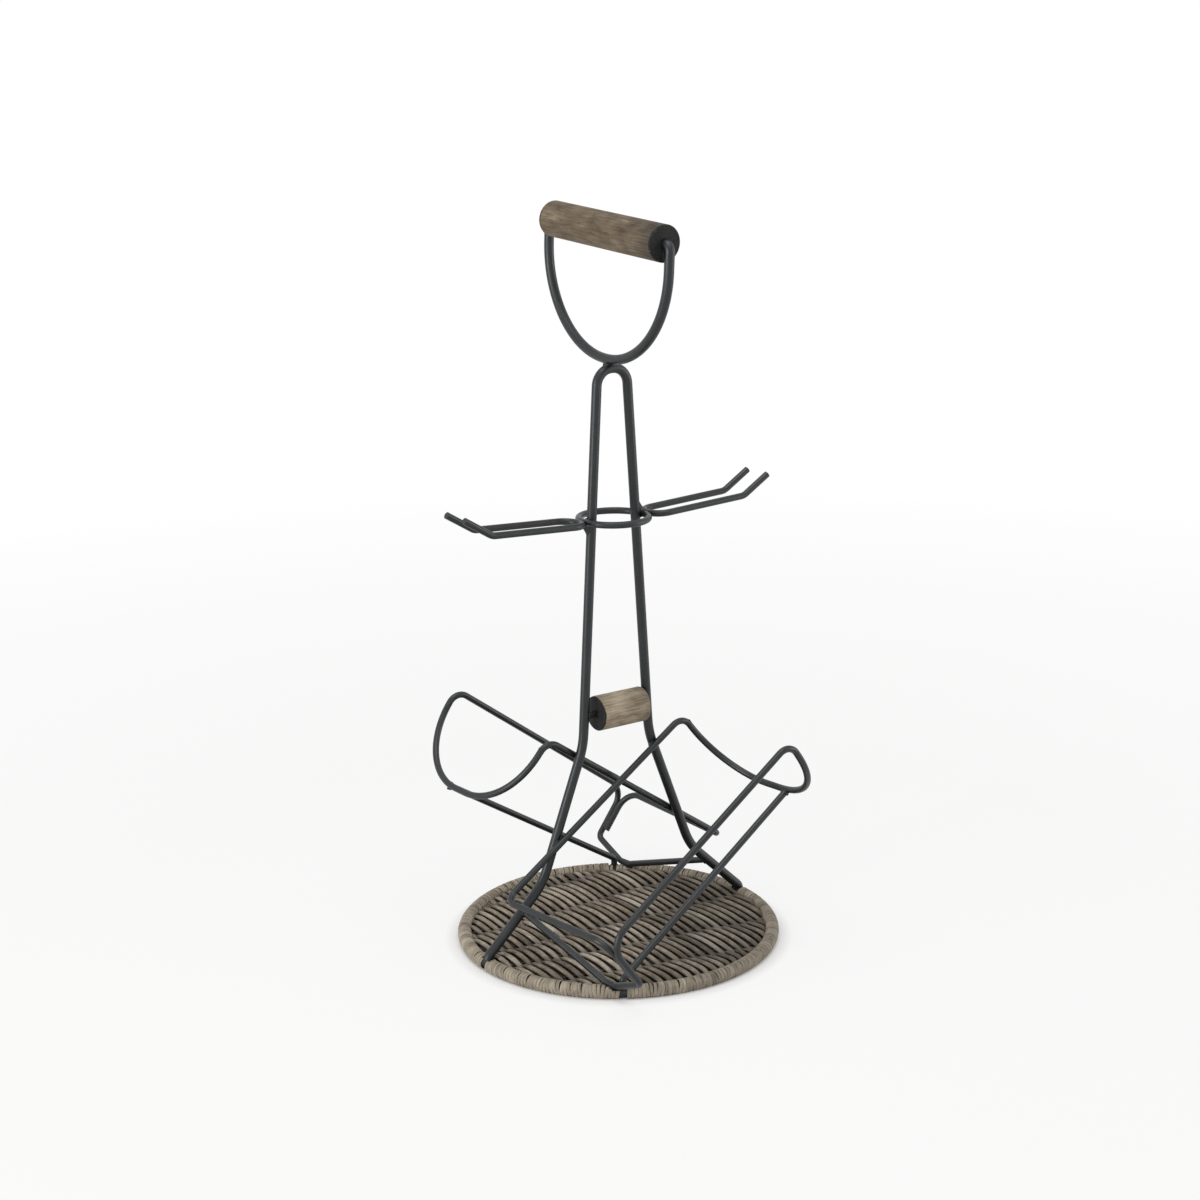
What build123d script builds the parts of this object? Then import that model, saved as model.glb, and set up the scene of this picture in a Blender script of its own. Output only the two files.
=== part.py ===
from build123d import *
import os
from math import atan2, cos, degrees, hypot, radians, sin, sqrt

# Caddy: a hairpin rod upright on a round wicker base, with a turning wooden
# carrying grip, a wooden dowel, a ring with two hanging forks, and two bent wire
# cradles that slope up and out on opposite sides.
# Millimetres, +Z up. The origin is the middle of the base, on the surface that
# it stands on. The upright lies in the XZ plane. The front cradle is on the -Y
# side, and the rear one is the same set of wires turned half way round Z.

os.makedirs("parts", exist_ok=True)

# Stock
heavy_d = 5.5  # rod of the upright, the handle bow and the base hoop
wire_d = 3.8  # wire of the ring, the forks and the cradles
weld_sink = 0.05  # how far two rods that cross are pressed into each other at a weld
butt_gap = 1.0  # between the two rod ends inside the grip
round_share = 0.985  # corner radius of a round end, as a share of its half width

# Wicker base
base_d = 187.0
rim_d = 8.0  # wrapped rim
rim_flat = 0.5  # worn flat under the rim
wrap_gap = 0.2  # between the hoop and the wrapping round it
notch_gap = 0.6  # on each side of a rod in its notch in the wrapping
cross_notch_half = 4.5  # half the length of rim that the slanting heel bar crosses
mat_bottom_z = 1.0
mat_t = 3.1  # up to the level where the strands dive between two stakes
mat_gap = 0.3  # between the mat and the wrapped rim
strand_pitch = 2.75  # of the strands, which run along Y
strand_w = 2.4
strand_rise = 2.3  # of a strand over a stake, above the level where it dives
strand_root = 0.3  # sunk into the mat under each rise
strand_ends = 3.0  # shorter rises than this near the rim are left out
dive_shares = (-1.49, -1.1, -0.73, -0.35, 0.014, 0.43, 0.83, 1.24)  # of the mat's radius
dive_slope_shares = (-0.25, -0.25, -0.24, -0.2, -0.08, 0.02, 0.05, 0.05)  # the stakes fan out

# Hairpin upright
apex_z = 331.0  # centre line at the top
leg_x_top = 9.7  # half the spread of the legs, carried up to the apex
knee_x = 22.8
knee_z = 118.8
knee_r = 50.0
foot_run = 37.3  # from the lower bend out to the hoop
hock_z = 42.4
hock_r = 40.0
ankle_z = 7.5  # where the sloping foot turns down into the rim
ankle_r = 5.0
foot_share = 0.5  # height of the foot's end over the hoop's middle, of its radius

# Handle bow and grip
bow_half_w = 56.2
bow_bend_r = 4.0
bow_x = -2.5  # the bow stands a little to one side of the apex
bow_tilt = 4.0  # degrees, far end up
grip_over_bow = 13.0  # grip axis over the middle of the bow's half circle
grip_d = 20.0
grip_end_gap = 0.2  # between the end of the grip and the start of the bend
grip_edge_r = 0.8
running_gap = 0.08  # radial, between a turning wooden piece and its rod

# Lower dowel
dowel_z = 136.2
dowel_d = 20.0
dowel_l = 32.0
dowel_end_gap = 0.3  # between the dowel's upper edge and the leg that it lies against
dowel_edge_r = 0.8

# Ring and hanging forks
ring_z = 247.5
fork_half_w = 9.1
fork_bend_x = 85.0
fork_bend_z = 250.6
fork_bend_r = 8.0
fork_tip_x = 102.1
fork_tip_z = 261.0

# Cradle: s runs up along the rails, y across and h square to both
cradle_run = 108.8  # along X, from where the heel bar crosses the rim to the saddle
cradle_z = 124.4
cradle_tilt = 35.9  # degrees
outer_y = 97.6
outer_rail_h = 10.6
inner_rail_h = 6.3
saddle_h_outer = -42.0
saddle_h_inner = -39.8
saddle_s_outer = -0.8
saddle_s_inner = -7.2
saddle_r = 41.5
saddle_bend_r = 8.3
drop_s = -150.2  # the outer rail turns down here
drop_r = 12.0
drop_end_h = -6.0  # end of the rail's wire, and start of the heel bar's

# Stop across the low end
stop_s_inner = -157.3
stop_h_inner = 10.2
stop_h_outer = 10.2
stop_elbow_r = 7.0
stop_drop_r = 12.0
stop_end_h = -18.0
stop_tail = 17.0  # from the elbow's corner to the joint with the inner rail

# Heel bar
heel_drop_h = -23.5
heel_bend_r = 4.5
rim_cross_deg = 232.0  # where the heel bar crosses the rim, seen from above
rim_cross_flat = 8.0  # level stretch over the hoop
rim_cross_r = 6.0
heel_leg_share = 0.365  # place on the foot's slope where the heel bar ends

# Brace from the saddle down to the rim
brace_top_s = -4.0
brace_top_y = 61.8
brace_foot_deg = 236.3
brace_bend_z = 10.9
brace_bend_r = 3.5

# Derived places
heavy_r = heavy_d / 2
wire_r = wire_d / 2
rim_r = rim_d / 2
hoop_r = base_d / 2 - rim_r
hoop_z = rim_r - rim_flat
hoop_top_z = hoop_z + heavy_r
foot_z = hoop_z + heavy_r * foot_share
mat_r = hoop_r - rim_r - mat_gap
hock_x = hoop_r - foot_run
cradle_x = hoop_r * cos(radians(rim_cross_deg)) + cradle_run
leg_slope = (knee_x - leg_x_top) / (apex_z - knee_z)
inner_y = heavy_r + wire_r - weld_sink


def leg_x(z):
    """Centre line of the upper leg at a height."""
    return leg_x_top + leg_slope * (apex_z - z)


cradle_plane = Plane(
    origin=(cradle_x, 0, cradle_z),
    x_dir=(cos(radians(cradle_tilt)), 0, sin(radians(cradle_tilt))),
    z_dir=(-sin(radians(cradle_tilt)), 0, cos(radians(cradle_tilt))),
)


def on_cradle(s, y, h):
    """A point of the front cradle, with y counted outwards from the upright."""
    return cradle_plane.from_local_coords(Vector(s, -y, h))


def bent_rod(points, radii, diameter):
    """A round rod through points, with one bend radius for each corner."""
    with BuildPart() as rod:
        with BuildLine():
            line = FilletPolyline(*points, radius=radii)
        with BuildSketch(Plane(origin=line @ 0, z_dir=line % 0)):
            Circle(diameter / 2)
        sweep()
    return rod.part


# Base hoop: the steel ring inside the rim
with BuildPart() as base_hoop:
    with BuildSketch(Plane.XZ):
        with Locations((hoop_r, hoop_z)):
            Circle(heavy_r)
    revolve(axis=Axis.Z)
base_hoop.part.label = "base_hoop"
export_step(base_hoop.part, "parts/base_hoop.step")

# Heel bar's crossing over the rim, in plan
rim_cross_x = hoop_r * cos(radians(rim_cross_deg))
rim_cross_y = hoop_r * sin(radians(rim_cross_deg))
brace_foot_x = hoop_r * cos(radians(brace_foot_deg))
brace_foot_y = hoop_r * sin(radians(brace_foot_deg))
heel_leg_x = -(hock_x + heel_leg_share * (hoop_r - hock_x))
heel_leg_z = hock_z + heel_leg_share * (ankle_z - hock_z)
cross_run = hypot(heel_leg_x - rim_cross_x, -rim_cross_y)
cross_dx = (heel_leg_x - rim_cross_x) / cross_run
cross_dy = -rim_cross_y / cross_run
cross_deg = degrees(atan2(cross_dy, cross_dx))

# Rim wrapping: a flat-bottomed tube round the hoop. Its upper half is open at
# the two feet and at the two corners where the cradle wires meet the hoop.
foot_half_deg = degrees((heavy_r + notch_gap) / hoop_r)
corner_from = rim_cross_deg - degrees((cross_notch_half + notch_gap) / hoop_r)
corner_to = brace_foot_deg + degrees((wire_r + notch_gap) / hoop_r)
half_turn = 180
wrapped_spans = [
    (foot_half_deg, corner_from - half_turn),
    (corner_to - half_turn, half_turn - foot_half_deg),
    (half_turn + foot_half_deg, corner_from),
    (corner_to, 2 * half_turn - foot_half_deg),
]
with BuildPart() as rim_wrap:
    with BuildSketch(Plane.XZ):
        with Locations((hoop_r, hoop_z)):
            Circle(rim_r)
            Circle(heavy_r + wrap_gap, mode=Mode.SUBTRACT)
            Rectangle(rim_d, rim_d, align=(Align.CENTER, Align.MIN), mode=Mode.SUBTRACT)
        with Locations((hoop_r, 0)):
            Rectangle(rim_d, rim_d, align=(Align.CENTER, Align.MAX), mode=Mode.SUBTRACT)
    revolve(axis=Axis.Z)
    for start, end in wrapped_spans:
        span_plane = Plane(
            origin=(0, 0, 0),
            x_dir=(cos(radians(start)), sin(radians(start)), 0),
            z_dir=(sin(radians(start)), -cos(radians(start)), 0),
        )
        with BuildSketch(span_plane):
            with Locations((hoop_r, hoop_z)):
                Circle(rim_r)
                Circle(heavy_r + wrap_gap, mode=Mode.SUBTRACT)
                Rectangle(rim_d, rim_d, align=(Align.CENTER, Align.MAX), mode=Mode.SUBTRACT)
        revolve(axis=Axis.Z, revolution_arc=end - start)
rim_wrap.part.label = "rim_wrap"
export_step(rim_wrap.part, "parts/rim_wrap.step")

# Woven mat inside the rim: every other strand rises over a stake, and the ones
# between them rise over the next stake
mat_top_z = mat_bottom_z + mat_t
strand_count = int(mat_r / strand_pitch)
with BuildPart() as woven_mat:
    for strand in range(-strand_count, strand_count + 1):
        strand_x = strand * strand_pitch
        strand_reach = sqrt(max(0, mat_r**2 - (abs(strand_x) + strand_w / 2) ** 2)) - mat_gap
        rises = []
        for stake in range(len(dive_shares) - 1):
            low = dive_shares[stake] * mat_r + dive_slope_shares[stake] * strand_x
            high = dive_shares[stake + 1] * mat_r + dive_slope_shares[stake + 1] * strand_x
            low, high = max(low, -strand_reach), min(high, strand_reach)
            if (strand + stake) % 2 and high - low > strand_ends:
                rises.append((low, high))
        if rises:
            with BuildSketch(Plane.YZ.offset(strand_x)):
                for low, high in rises:
                    with BuildLine():
                        top = ThreePointArc(
                            (low, mat_top_z - strand_root),
                            ((low + high) / 2, mat_top_z + strand_rise),
                            (high, mat_top_z - strand_root),
                        )
                        Line(top @ 1, top @ 0)
                    make_face()
    extrude(amount=strand_w / 2, both=True)
    with BuildSketch(Plane.XY.offset(mat_bottom_z)):
        Circle(mat_r)
    extrude(amount=mat_t)
woven_mat.part.label = "woven_mat"
export_step(woven_mat.part, "parts/woven_mat.step")

# Upright: one rod bent like a hairpin, its feet coped over the hoop
upright_rod = bent_rod(
    [
        (-hoop_r, 0, foot_z),
        (-hoop_r, 0, ankle_z),
        (-hock_x, 0, hock_z),
        (-knee_x, 0, knee_z),
        (-leg_x_top, 0, apex_z),
        (leg_x_top, 0, apex_z),
        (knee_x, 0, knee_z),
        (hock_x, 0, hock_z),
        (hoop_r, 0, ankle_z),
        (hoop_r, 0, foot_z),
    ],
    [
        ankle_r,
        hock_r,
        knee_r,
        leg_x_top * round_share,
        leg_x_top * round_share,
        knee_r,
        hock_r,
        ankle_r,
    ],
    heavy_d,
)
with BuildPart() as upright:
    add(upright_rod)
    add(base_hoop.part, mode=Mode.SUBTRACT)
upright.part.label = "upright"
export_step(upright.part, "parts/upright.step")

# Handle bow: it rests on the upright's apex, its ends meet inside the grip
apex_r = leg_x_top * round_share
bow_rise = sqrt((apex_r + heavy_d - weld_sink) ** 2 - bow_x**2)
bow_z = apex_z - apex_r + bow_rise + bow_half_w
bow_plane = Plane(
    origin=(bow_x, 0, bow_z),
    x_dir=(0, cos(radians(bow_tilt)), sin(radians(bow_tilt))),
    z_dir=(1, 0, 0),
)


def on_bow(across, up):
    """A point in the plane of the handle bow."""
    return bow_plane.from_local_coords(Vector(across, up, 0))


bow_rod = bent_rod(
    [
        on_bow(-butt_gap / 2, grip_over_bow),
        on_bow(-bow_half_w, grip_over_bow),
        on_bow(-bow_half_w, -bow_half_w),
        on_bow(bow_half_w, -bow_half_w),
        on_bow(bow_half_w, grip_over_bow),
        on_bow(butt_gap / 2, grip_over_bow),
    ],
    [
        bow_bend_r,
        bow_half_w * round_share,
        bow_half_w * round_share,
        bow_bend_r,
    ],
    heavy_d,
)
with BuildPart() as handle_bow:
    add(bow_rod)
handle_bow.part.label = "handle_bow"
export_step(handle_bow.part, "parts/handle_bow.step")

# Grip: a wooden roller with eased ends, free to turn on the bow
grip_half_l = bow_half_w - bow_bend_r - grip_end_gap
grip_plane = Plane(
    origin=on_bow(0, grip_over_bow),
    x_dir=(1, 0, 0),
    z_dir=(0, cos(radians(bow_tilt)), sin(radians(bow_tilt))),
)
with BuildPart() as handle_grip:
    with BuildSketch(grip_plane):
        Circle(grip_d / 2)
    extrude(amount=grip_half_l, both=True)
    fillet(handle_grip.edges().filter_by(GeomType.CIRCLE), radius=grip_edge_r)
    with BuildSketch(grip_plane):
        Circle(heavy_r + running_gap)
    extrude(amount=grip_half_l, both=True, mode=Mode.SUBTRACT)
handle_grip.part.label = "handle_grip"
export_step(handle_grip.part, "parts/handle_grip.step")

# Dowel rod: a straight wire coped between the legs
with BuildPart() as dowel_rod:
    with BuildSketch(Plane.YZ):
        with Locations((0, dowel_z)):
            Circle(wire_r)
    extrude(amount=leg_x(dowel_z), both=True)
    add(upright.part, mode=Mode.SUBTRACT)
dowel_rod.part.label = "dowel_rod"
export_step(dowel_rod.part, "parts/dowel_rod.step")

# Lower dowel: a short wooden roller that lies against one leg
dowel_far_x = leg_x(dowel_z + dowel_d / 2) - heavy_r - dowel_end_gap
with BuildPart() as lower_dowel:
    with BuildSketch(Plane.YZ.offset(dowel_far_x)):
        with Locations((0, dowel_z)):
            Circle(dowel_d / 2)
    extrude(amount=-dowel_l)
    fillet(lower_dowel.edges().filter_by(GeomType.CIRCLE), radius=dowel_edge_r)
    with BuildSketch(Plane.YZ.offset(dowel_far_x)):
        with Locations((0, dowel_z)):
            Circle(wire_r + running_gap)
    extrude(amount=-dowel_l, mode=Mode.SUBTRACT)
lower_dowel.part.label = "lower_dowel"
export_step(lower_dowel.part, "parts/lower_dowel.step")

# Ring round both legs
ring_r = leg_x(ring_z) + heavy_r + wire_r - weld_sink
with BuildPart() as glass_ring:
    with BuildSketch(Plane.XZ):
        with Locations((ring_r, ring_z)):
            Circle(wire_r)
    revolve(axis=Axis.Z)
glass_ring.part.label = "glass_ring"
export_step(glass_ring.part, "parts/glass_ring.step")

# Forks: hairpins whose closed end is welded to the outside of the ring
fork_root_x = ring_r + wire_d - weld_sink
fork_rod = bent_rod(
    [
        (fork_tip_x, -fork_half_w, fork_tip_z),
        (fork_bend_x, -fork_half_w, fork_bend_z),
        (fork_root_x, -fork_half_w, ring_z),
        (fork_root_x, fork_half_w, ring_z),
        (fork_bend_x, fork_half_w, fork_bend_z),
        (fork_tip_x, fork_half_w, fork_tip_z),
    ],
    [
        fork_bend_r,
        fork_half_w * round_share,
        fork_half_w * round_share,
        fork_bend_r,
    ],
    wire_d,
)
with BuildPart() as glass_fork_right:
    add(fork_rod)
glass_fork_right.part.label = "glass_fork_right"
export_step(glass_fork_right.part, "parts/glass_fork_right.step")

with BuildPart() as glass_fork_left:
    add(fork_rod, rotation=(0, 0, 180))
glass_fork_left.part.label = "glass_fork_left"
export_step(glass_fork_left.part, "parts/glass_fork_left.step")

# Cradle rail: inner rail, round saddle, outer rail and its drop
inner_top = Vector(saddle_s_inner, inner_y, inner_rail_h)
inner_end = Vector(stop_s_inner, inner_y, stop_h_inner)
tail_step = (inner_top - inner_end).normalized() * stop_tail
joint = inner_end + tail_step
rail_rod = bent_rod(
    [
        on_cradle(joint.X, joint.Y, joint.Z),
        on_cradle(saddle_s_inner, inner_y, inner_rail_h),
        on_cradle(saddle_s_inner, inner_y, saddle_h_inner),
        on_cradle(saddle_s_outer, outer_y, saddle_h_outer),
        on_cradle(saddle_s_outer, outer_y, outer_rail_h),
        on_cradle(drop_s, outer_y, outer_rail_h),
        on_cradle(drop_s, outer_y, drop_end_h),
    ],
    [saddle_bend_r, saddle_r, saddle_r, saddle_bend_r, drop_r],
    wire_d,
)
with BuildPart() as cradle_rail_front:
    add(rail_rod)
cradle_rail_front.part.label = "cradle_rail_front"
export_step(cradle_rail_front.part, "parts/cradle_rail_front.step")

# Stop: it goes on from the inner rail, round the elbow and across
stop_y = outer_y - wire_d + weld_sink
stop_rod = bent_rod(
    [
        on_cradle(joint.X, joint.Y, joint.Z),
        on_cradle(stop_s_inner, inner_y, stop_h_inner),
        on_cradle(drop_s, stop_y, stop_h_outer),
        on_cradle(drop_s, stop_y, stop_end_h),
    ],
    [stop_elbow_r, stop_drop_r],
    wire_d,
)
with BuildPart() as bottle_stop_front:
    add(stop_rod)
bottle_stop_front.part.label = "bottle_stop_front"
export_step(bottle_stop_front.part, "parts/bottle_stop_front.step")

# Heel bar: on from the drop, over the hoop in the rim, and up to the leg
cross_z = hoop_top_z + wire_r - weld_sink
heel_rod = bent_rod(
    [
        on_cradle(drop_s, outer_y, drop_end_h),
        on_cradle(drop_s, outer_y, heel_drop_h),
        (
            rim_cross_x - cross_dx * rim_cross_flat / 2,
            rim_cross_y - cross_dy * rim_cross_flat / 2,
            cross_z,
        ),
        (
            rim_cross_x + cross_dx * rim_cross_flat / 2,
            rim_cross_y + cross_dy * rim_cross_flat / 2,
            cross_z,
        ),
        (heel_leg_x, 0, heel_leg_z),
    ],
    [heel_bend_r, rim_cross_r, rim_cross_r],
    wire_d,
)
with BuildPart() as heel_bar_front:
    add(heel_rod)
    add(upright.part, mode=Mode.SUBTRACT)
heel_bar_front.part.label = "heel_bar_front"
export_step(heel_bar_front.part, "parts/heel_bar_front.step")

# Saddle brace: from under the saddle straight down to the hoop, its foot turned
# down like the upright's; both ends are coped
brace_share = (brace_top_y - inner_y) / (outer_y - inner_y)
brace_top_h = saddle_h_inner + brace_share * (saddle_h_outer - saddle_h_inner)
brace_rod = bent_rod(
    [
        on_cradle(brace_top_s, brace_top_y, brace_top_h),
        (brace_foot_x, brace_foot_y, brace_bend_z),
        (brace_foot_x, brace_foot_y, foot_z),
    ],
    [brace_bend_r],
    wire_d,
)
with BuildPart() as saddle_brace_front:
    add(brace_rod)
    add(cradle_rail_front.part, mode=Mode.SUBTRACT)
    add(base_hoop.part, mode=Mode.SUBTRACT)
saddle_brace_front.part.label = "saddle_brace_front"
export_step(saddle_brace_front.part, "parts/saddle_brace_front.step")

# Rear cradle: the same four wires turned half way round
with BuildPart() as cradle_rail_rear:
    add(cradle_rail_front.part, rotation=(0, 0, 180))
cradle_rail_rear.part.label = "cradle_rail_rear"
export_step(cradle_rail_rear.part, "parts/cradle_rail_rear.step")

with BuildPart() as bottle_stop_rear:
    add(bottle_stop_front.part, rotation=(0, 0, 180))
bottle_stop_rear.part.label = "bottle_stop_rear"
export_step(bottle_stop_rear.part, "parts/bottle_stop_rear.step")

with BuildPart() as heel_bar_rear:
    add(heel_bar_front.part, rotation=(0, 0, 180))
heel_bar_rear.part.label = "heel_bar_rear"
export_step(heel_bar_rear.part, "parts/heel_bar_rear.step")

with BuildPart() as saddle_brace_rear:
    add(saddle_brace_front.part, rotation=(0, 0, 180))
saddle_brace_rear.part.label = "saddle_brace_rear"
export_step(saddle_brace_rear.part, "parts/saddle_brace_rear.step")
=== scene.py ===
"""Caddy: powder coated steel rods on a round wicker base, with a weathered
wooden carrying grip and a wooden dowel. Blender works in metres here. +X is the
way that the right fork points, and the origin is the middle of the base."""

import math
import random

import bmesh
import bpy
from mathutils import Matrix, Vector


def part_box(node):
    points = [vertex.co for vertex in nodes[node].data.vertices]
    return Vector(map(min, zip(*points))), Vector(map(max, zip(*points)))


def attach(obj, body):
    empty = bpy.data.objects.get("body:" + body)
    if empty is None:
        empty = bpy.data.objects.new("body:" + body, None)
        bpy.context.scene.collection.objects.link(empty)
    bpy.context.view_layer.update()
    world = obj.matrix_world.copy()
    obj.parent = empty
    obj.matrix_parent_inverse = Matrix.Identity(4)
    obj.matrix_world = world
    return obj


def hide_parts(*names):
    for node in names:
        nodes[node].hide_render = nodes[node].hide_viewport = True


MM = 0.001
X, Y, Z = Vector((1, 0, 0)), Vector((0, 1, 0)), Vector((0, 0, 1))

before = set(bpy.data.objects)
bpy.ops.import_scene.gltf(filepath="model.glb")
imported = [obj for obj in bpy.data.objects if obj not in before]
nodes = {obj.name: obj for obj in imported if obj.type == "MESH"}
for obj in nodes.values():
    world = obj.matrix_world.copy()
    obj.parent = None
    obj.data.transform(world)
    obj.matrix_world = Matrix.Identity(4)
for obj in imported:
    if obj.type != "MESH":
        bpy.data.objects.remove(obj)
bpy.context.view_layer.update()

# Camera
CAMERA_ROUND = math.radians(-34.67)  # round the caddy, from its front to its left
CAMERA_ABOVE = math.radians(14.49)
CAMERA_ROLL = math.radians(-0.764)
CAMERA_FAR = 1198 * MM
CAMERA_ASIDE = -8.174 * MM
CAMERA_AIM_Z = 200.4 * MM
CAMERA_LENS = 64.05  # millimetres, for a square picture

aside = Vector((math.cos(CAMERA_ROUND), math.sin(CAMERA_ROUND), 0))
back = Vector(
    (
        math.sin(CAMERA_ROUND) * math.cos(CAMERA_ABOVE),
        -math.cos(CAMERA_ROUND) * math.cos(CAMERA_ABOVE),
        math.sin(CAMERA_ABOVE),
    )
)
upward = back.cross(aside)
rolled_aside = aside * math.cos(CAMERA_ROLL) + upward * math.sin(CAMERA_ROLL)
rolled_up = upward * math.cos(CAMERA_ROLL) - aside * math.sin(CAMERA_ROLL)
camera_data = bpy.data.cameras.new("studio_camera")
camera_data.lens = CAMERA_LENS
camera_data.sensor_width = 36
camera_data.clip_start = 0.05
camera_data.clip_end = 40
camera = bpy.data.objects.new("studio_camera", camera_data)
turn = Matrix((rolled_aside, rolled_up, back)).transposed().to_4x4()
camera.matrix_world = (
    Matrix.Translation(aside * CAMERA_ASIDE + Vector((0, 0, CAMERA_AIM_Z)) + back * CAMERA_FAR)
    @ turn
)
bpy.context.scene.collection.objects.link(camera)
bpy.context.scene.camera = camera


# Finishes
def linear(hex_colour):
    """An sRGB hex colour as the linear colour that a socket takes."""
    parts = [int(hex_colour[i : i + 2], 16) / 255 for i in (1, 3, 5)]
    return [c / 12.92 if c <= 0.04045 else ((c + 0.055) / 1.055) ** 2.4 for c in parts] + [1]


def add(tree, kind, inputs=(), stops=(), **settings):
    """One node, with its settings, and a value or a link for each named input. stops
    are a colour ramp's places and hex colours."""
    made = tree.nodes.new(kind)
    for name, value in settings.items():
        setattr(made, name, value)
    for name, value in dict(inputs).items():
        if isinstance(value, bpy.types.NodeSocket):
            tree.links.new(value, made.inputs[name])
        else:
            made.inputs[name].default_value = value
    if stops:
        elements = made.color_ramp.elements
        while len(elements) < len(stops):
            elements.new(0.5)
        for element, (place, hex_colour) in zip(elements, stops):
            element.position = place
            element.color = linear(hex_colour)
    return made


def new_finish(name):
    """An empty material, its node tree and its surface shader."""
    finish = bpy.data.materials.new(name)
    finish.use_nodes = True
    tree = finish.node_tree
    tree.nodes.clear()
    shader = add(tree, "ShaderNodeBsdfPrincipled")
    add(tree, "ShaderNodeOutputMaterial", {"Surface": shader.outputs["BSDF"]})
    return finish, tree, shader


def lay_on(tree, shader, colour, roughness, normal, ior):
    """Links a finish to its shader. No finish here is bare metal."""
    tree.links.new(colour, shader.inputs["Base Color"])
    tree.links.new(roughness, shader.inputs["Roughness"])
    tree.links.new(normal, shader.inputs["Normal"])
    shader.inputs["IOR"].default_value = ior
    shader.inputs["Metallic"].default_value = 0.0


def powder_coated_steel(name, smoothest, roughest, peel_strength, peel_height):
    """Mild steel rod, welded and then powder coated in satin black. The baked powder
    gives a slight orange peel, soft highlights and a faint grey bloom of handling.
    The bloom is rougher than the bare coat."""
    PEEL = 0.9 * MM  # between the bumps of the powder, drawn a little coarse to show
    BLOOM = 14 * MM  # rubbed and dusty patches
    finish, tree, shader = new_finish(name)
    where = add(tree, "ShaderNodeTexCoord").outputs["Object"]
    peel = add(
        tree,
        "ShaderNodeTexNoise",
        {"Vector": where, "Scale": 1 / PEEL, "Detail": 2.0, "Roughness": 0.55},
    ).outputs["Fac"]
    bloom = add(
        tree,
        "ShaderNodeTexNoise",
        {"Vector": where, "Scale": 1 / BLOOM, "Detail": 5.0, "Roughness": 0.65},
    ).outputs["Fac"]
    coat = add(
        tree,
        "ShaderNodeValToRGB",
        {"Fac": bloom},
        [(0.30, "#090b0d"), (0.52, "#101417"), (0.74, "#1b2226")],
    ).outputs["Color"]
    satin = add(
        tree,
        "ShaderNodeMapRange",
        {
            "Value": bloom,
            "From Min": 0.3,
            "From Max": 0.7,
            "To Min": smoothest,
            "To Max": roughest,
        },
    ).outputs["Result"]
    bump = add(
        tree,
        "ShaderNodeBump",
        {"Height": peel, "Strength": peel_strength, "Distance": peel_height},
    ).outputs["Normal"]
    lay_on(tree, shader, coat, satin, bump, ior=1.5)
    return finish


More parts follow.
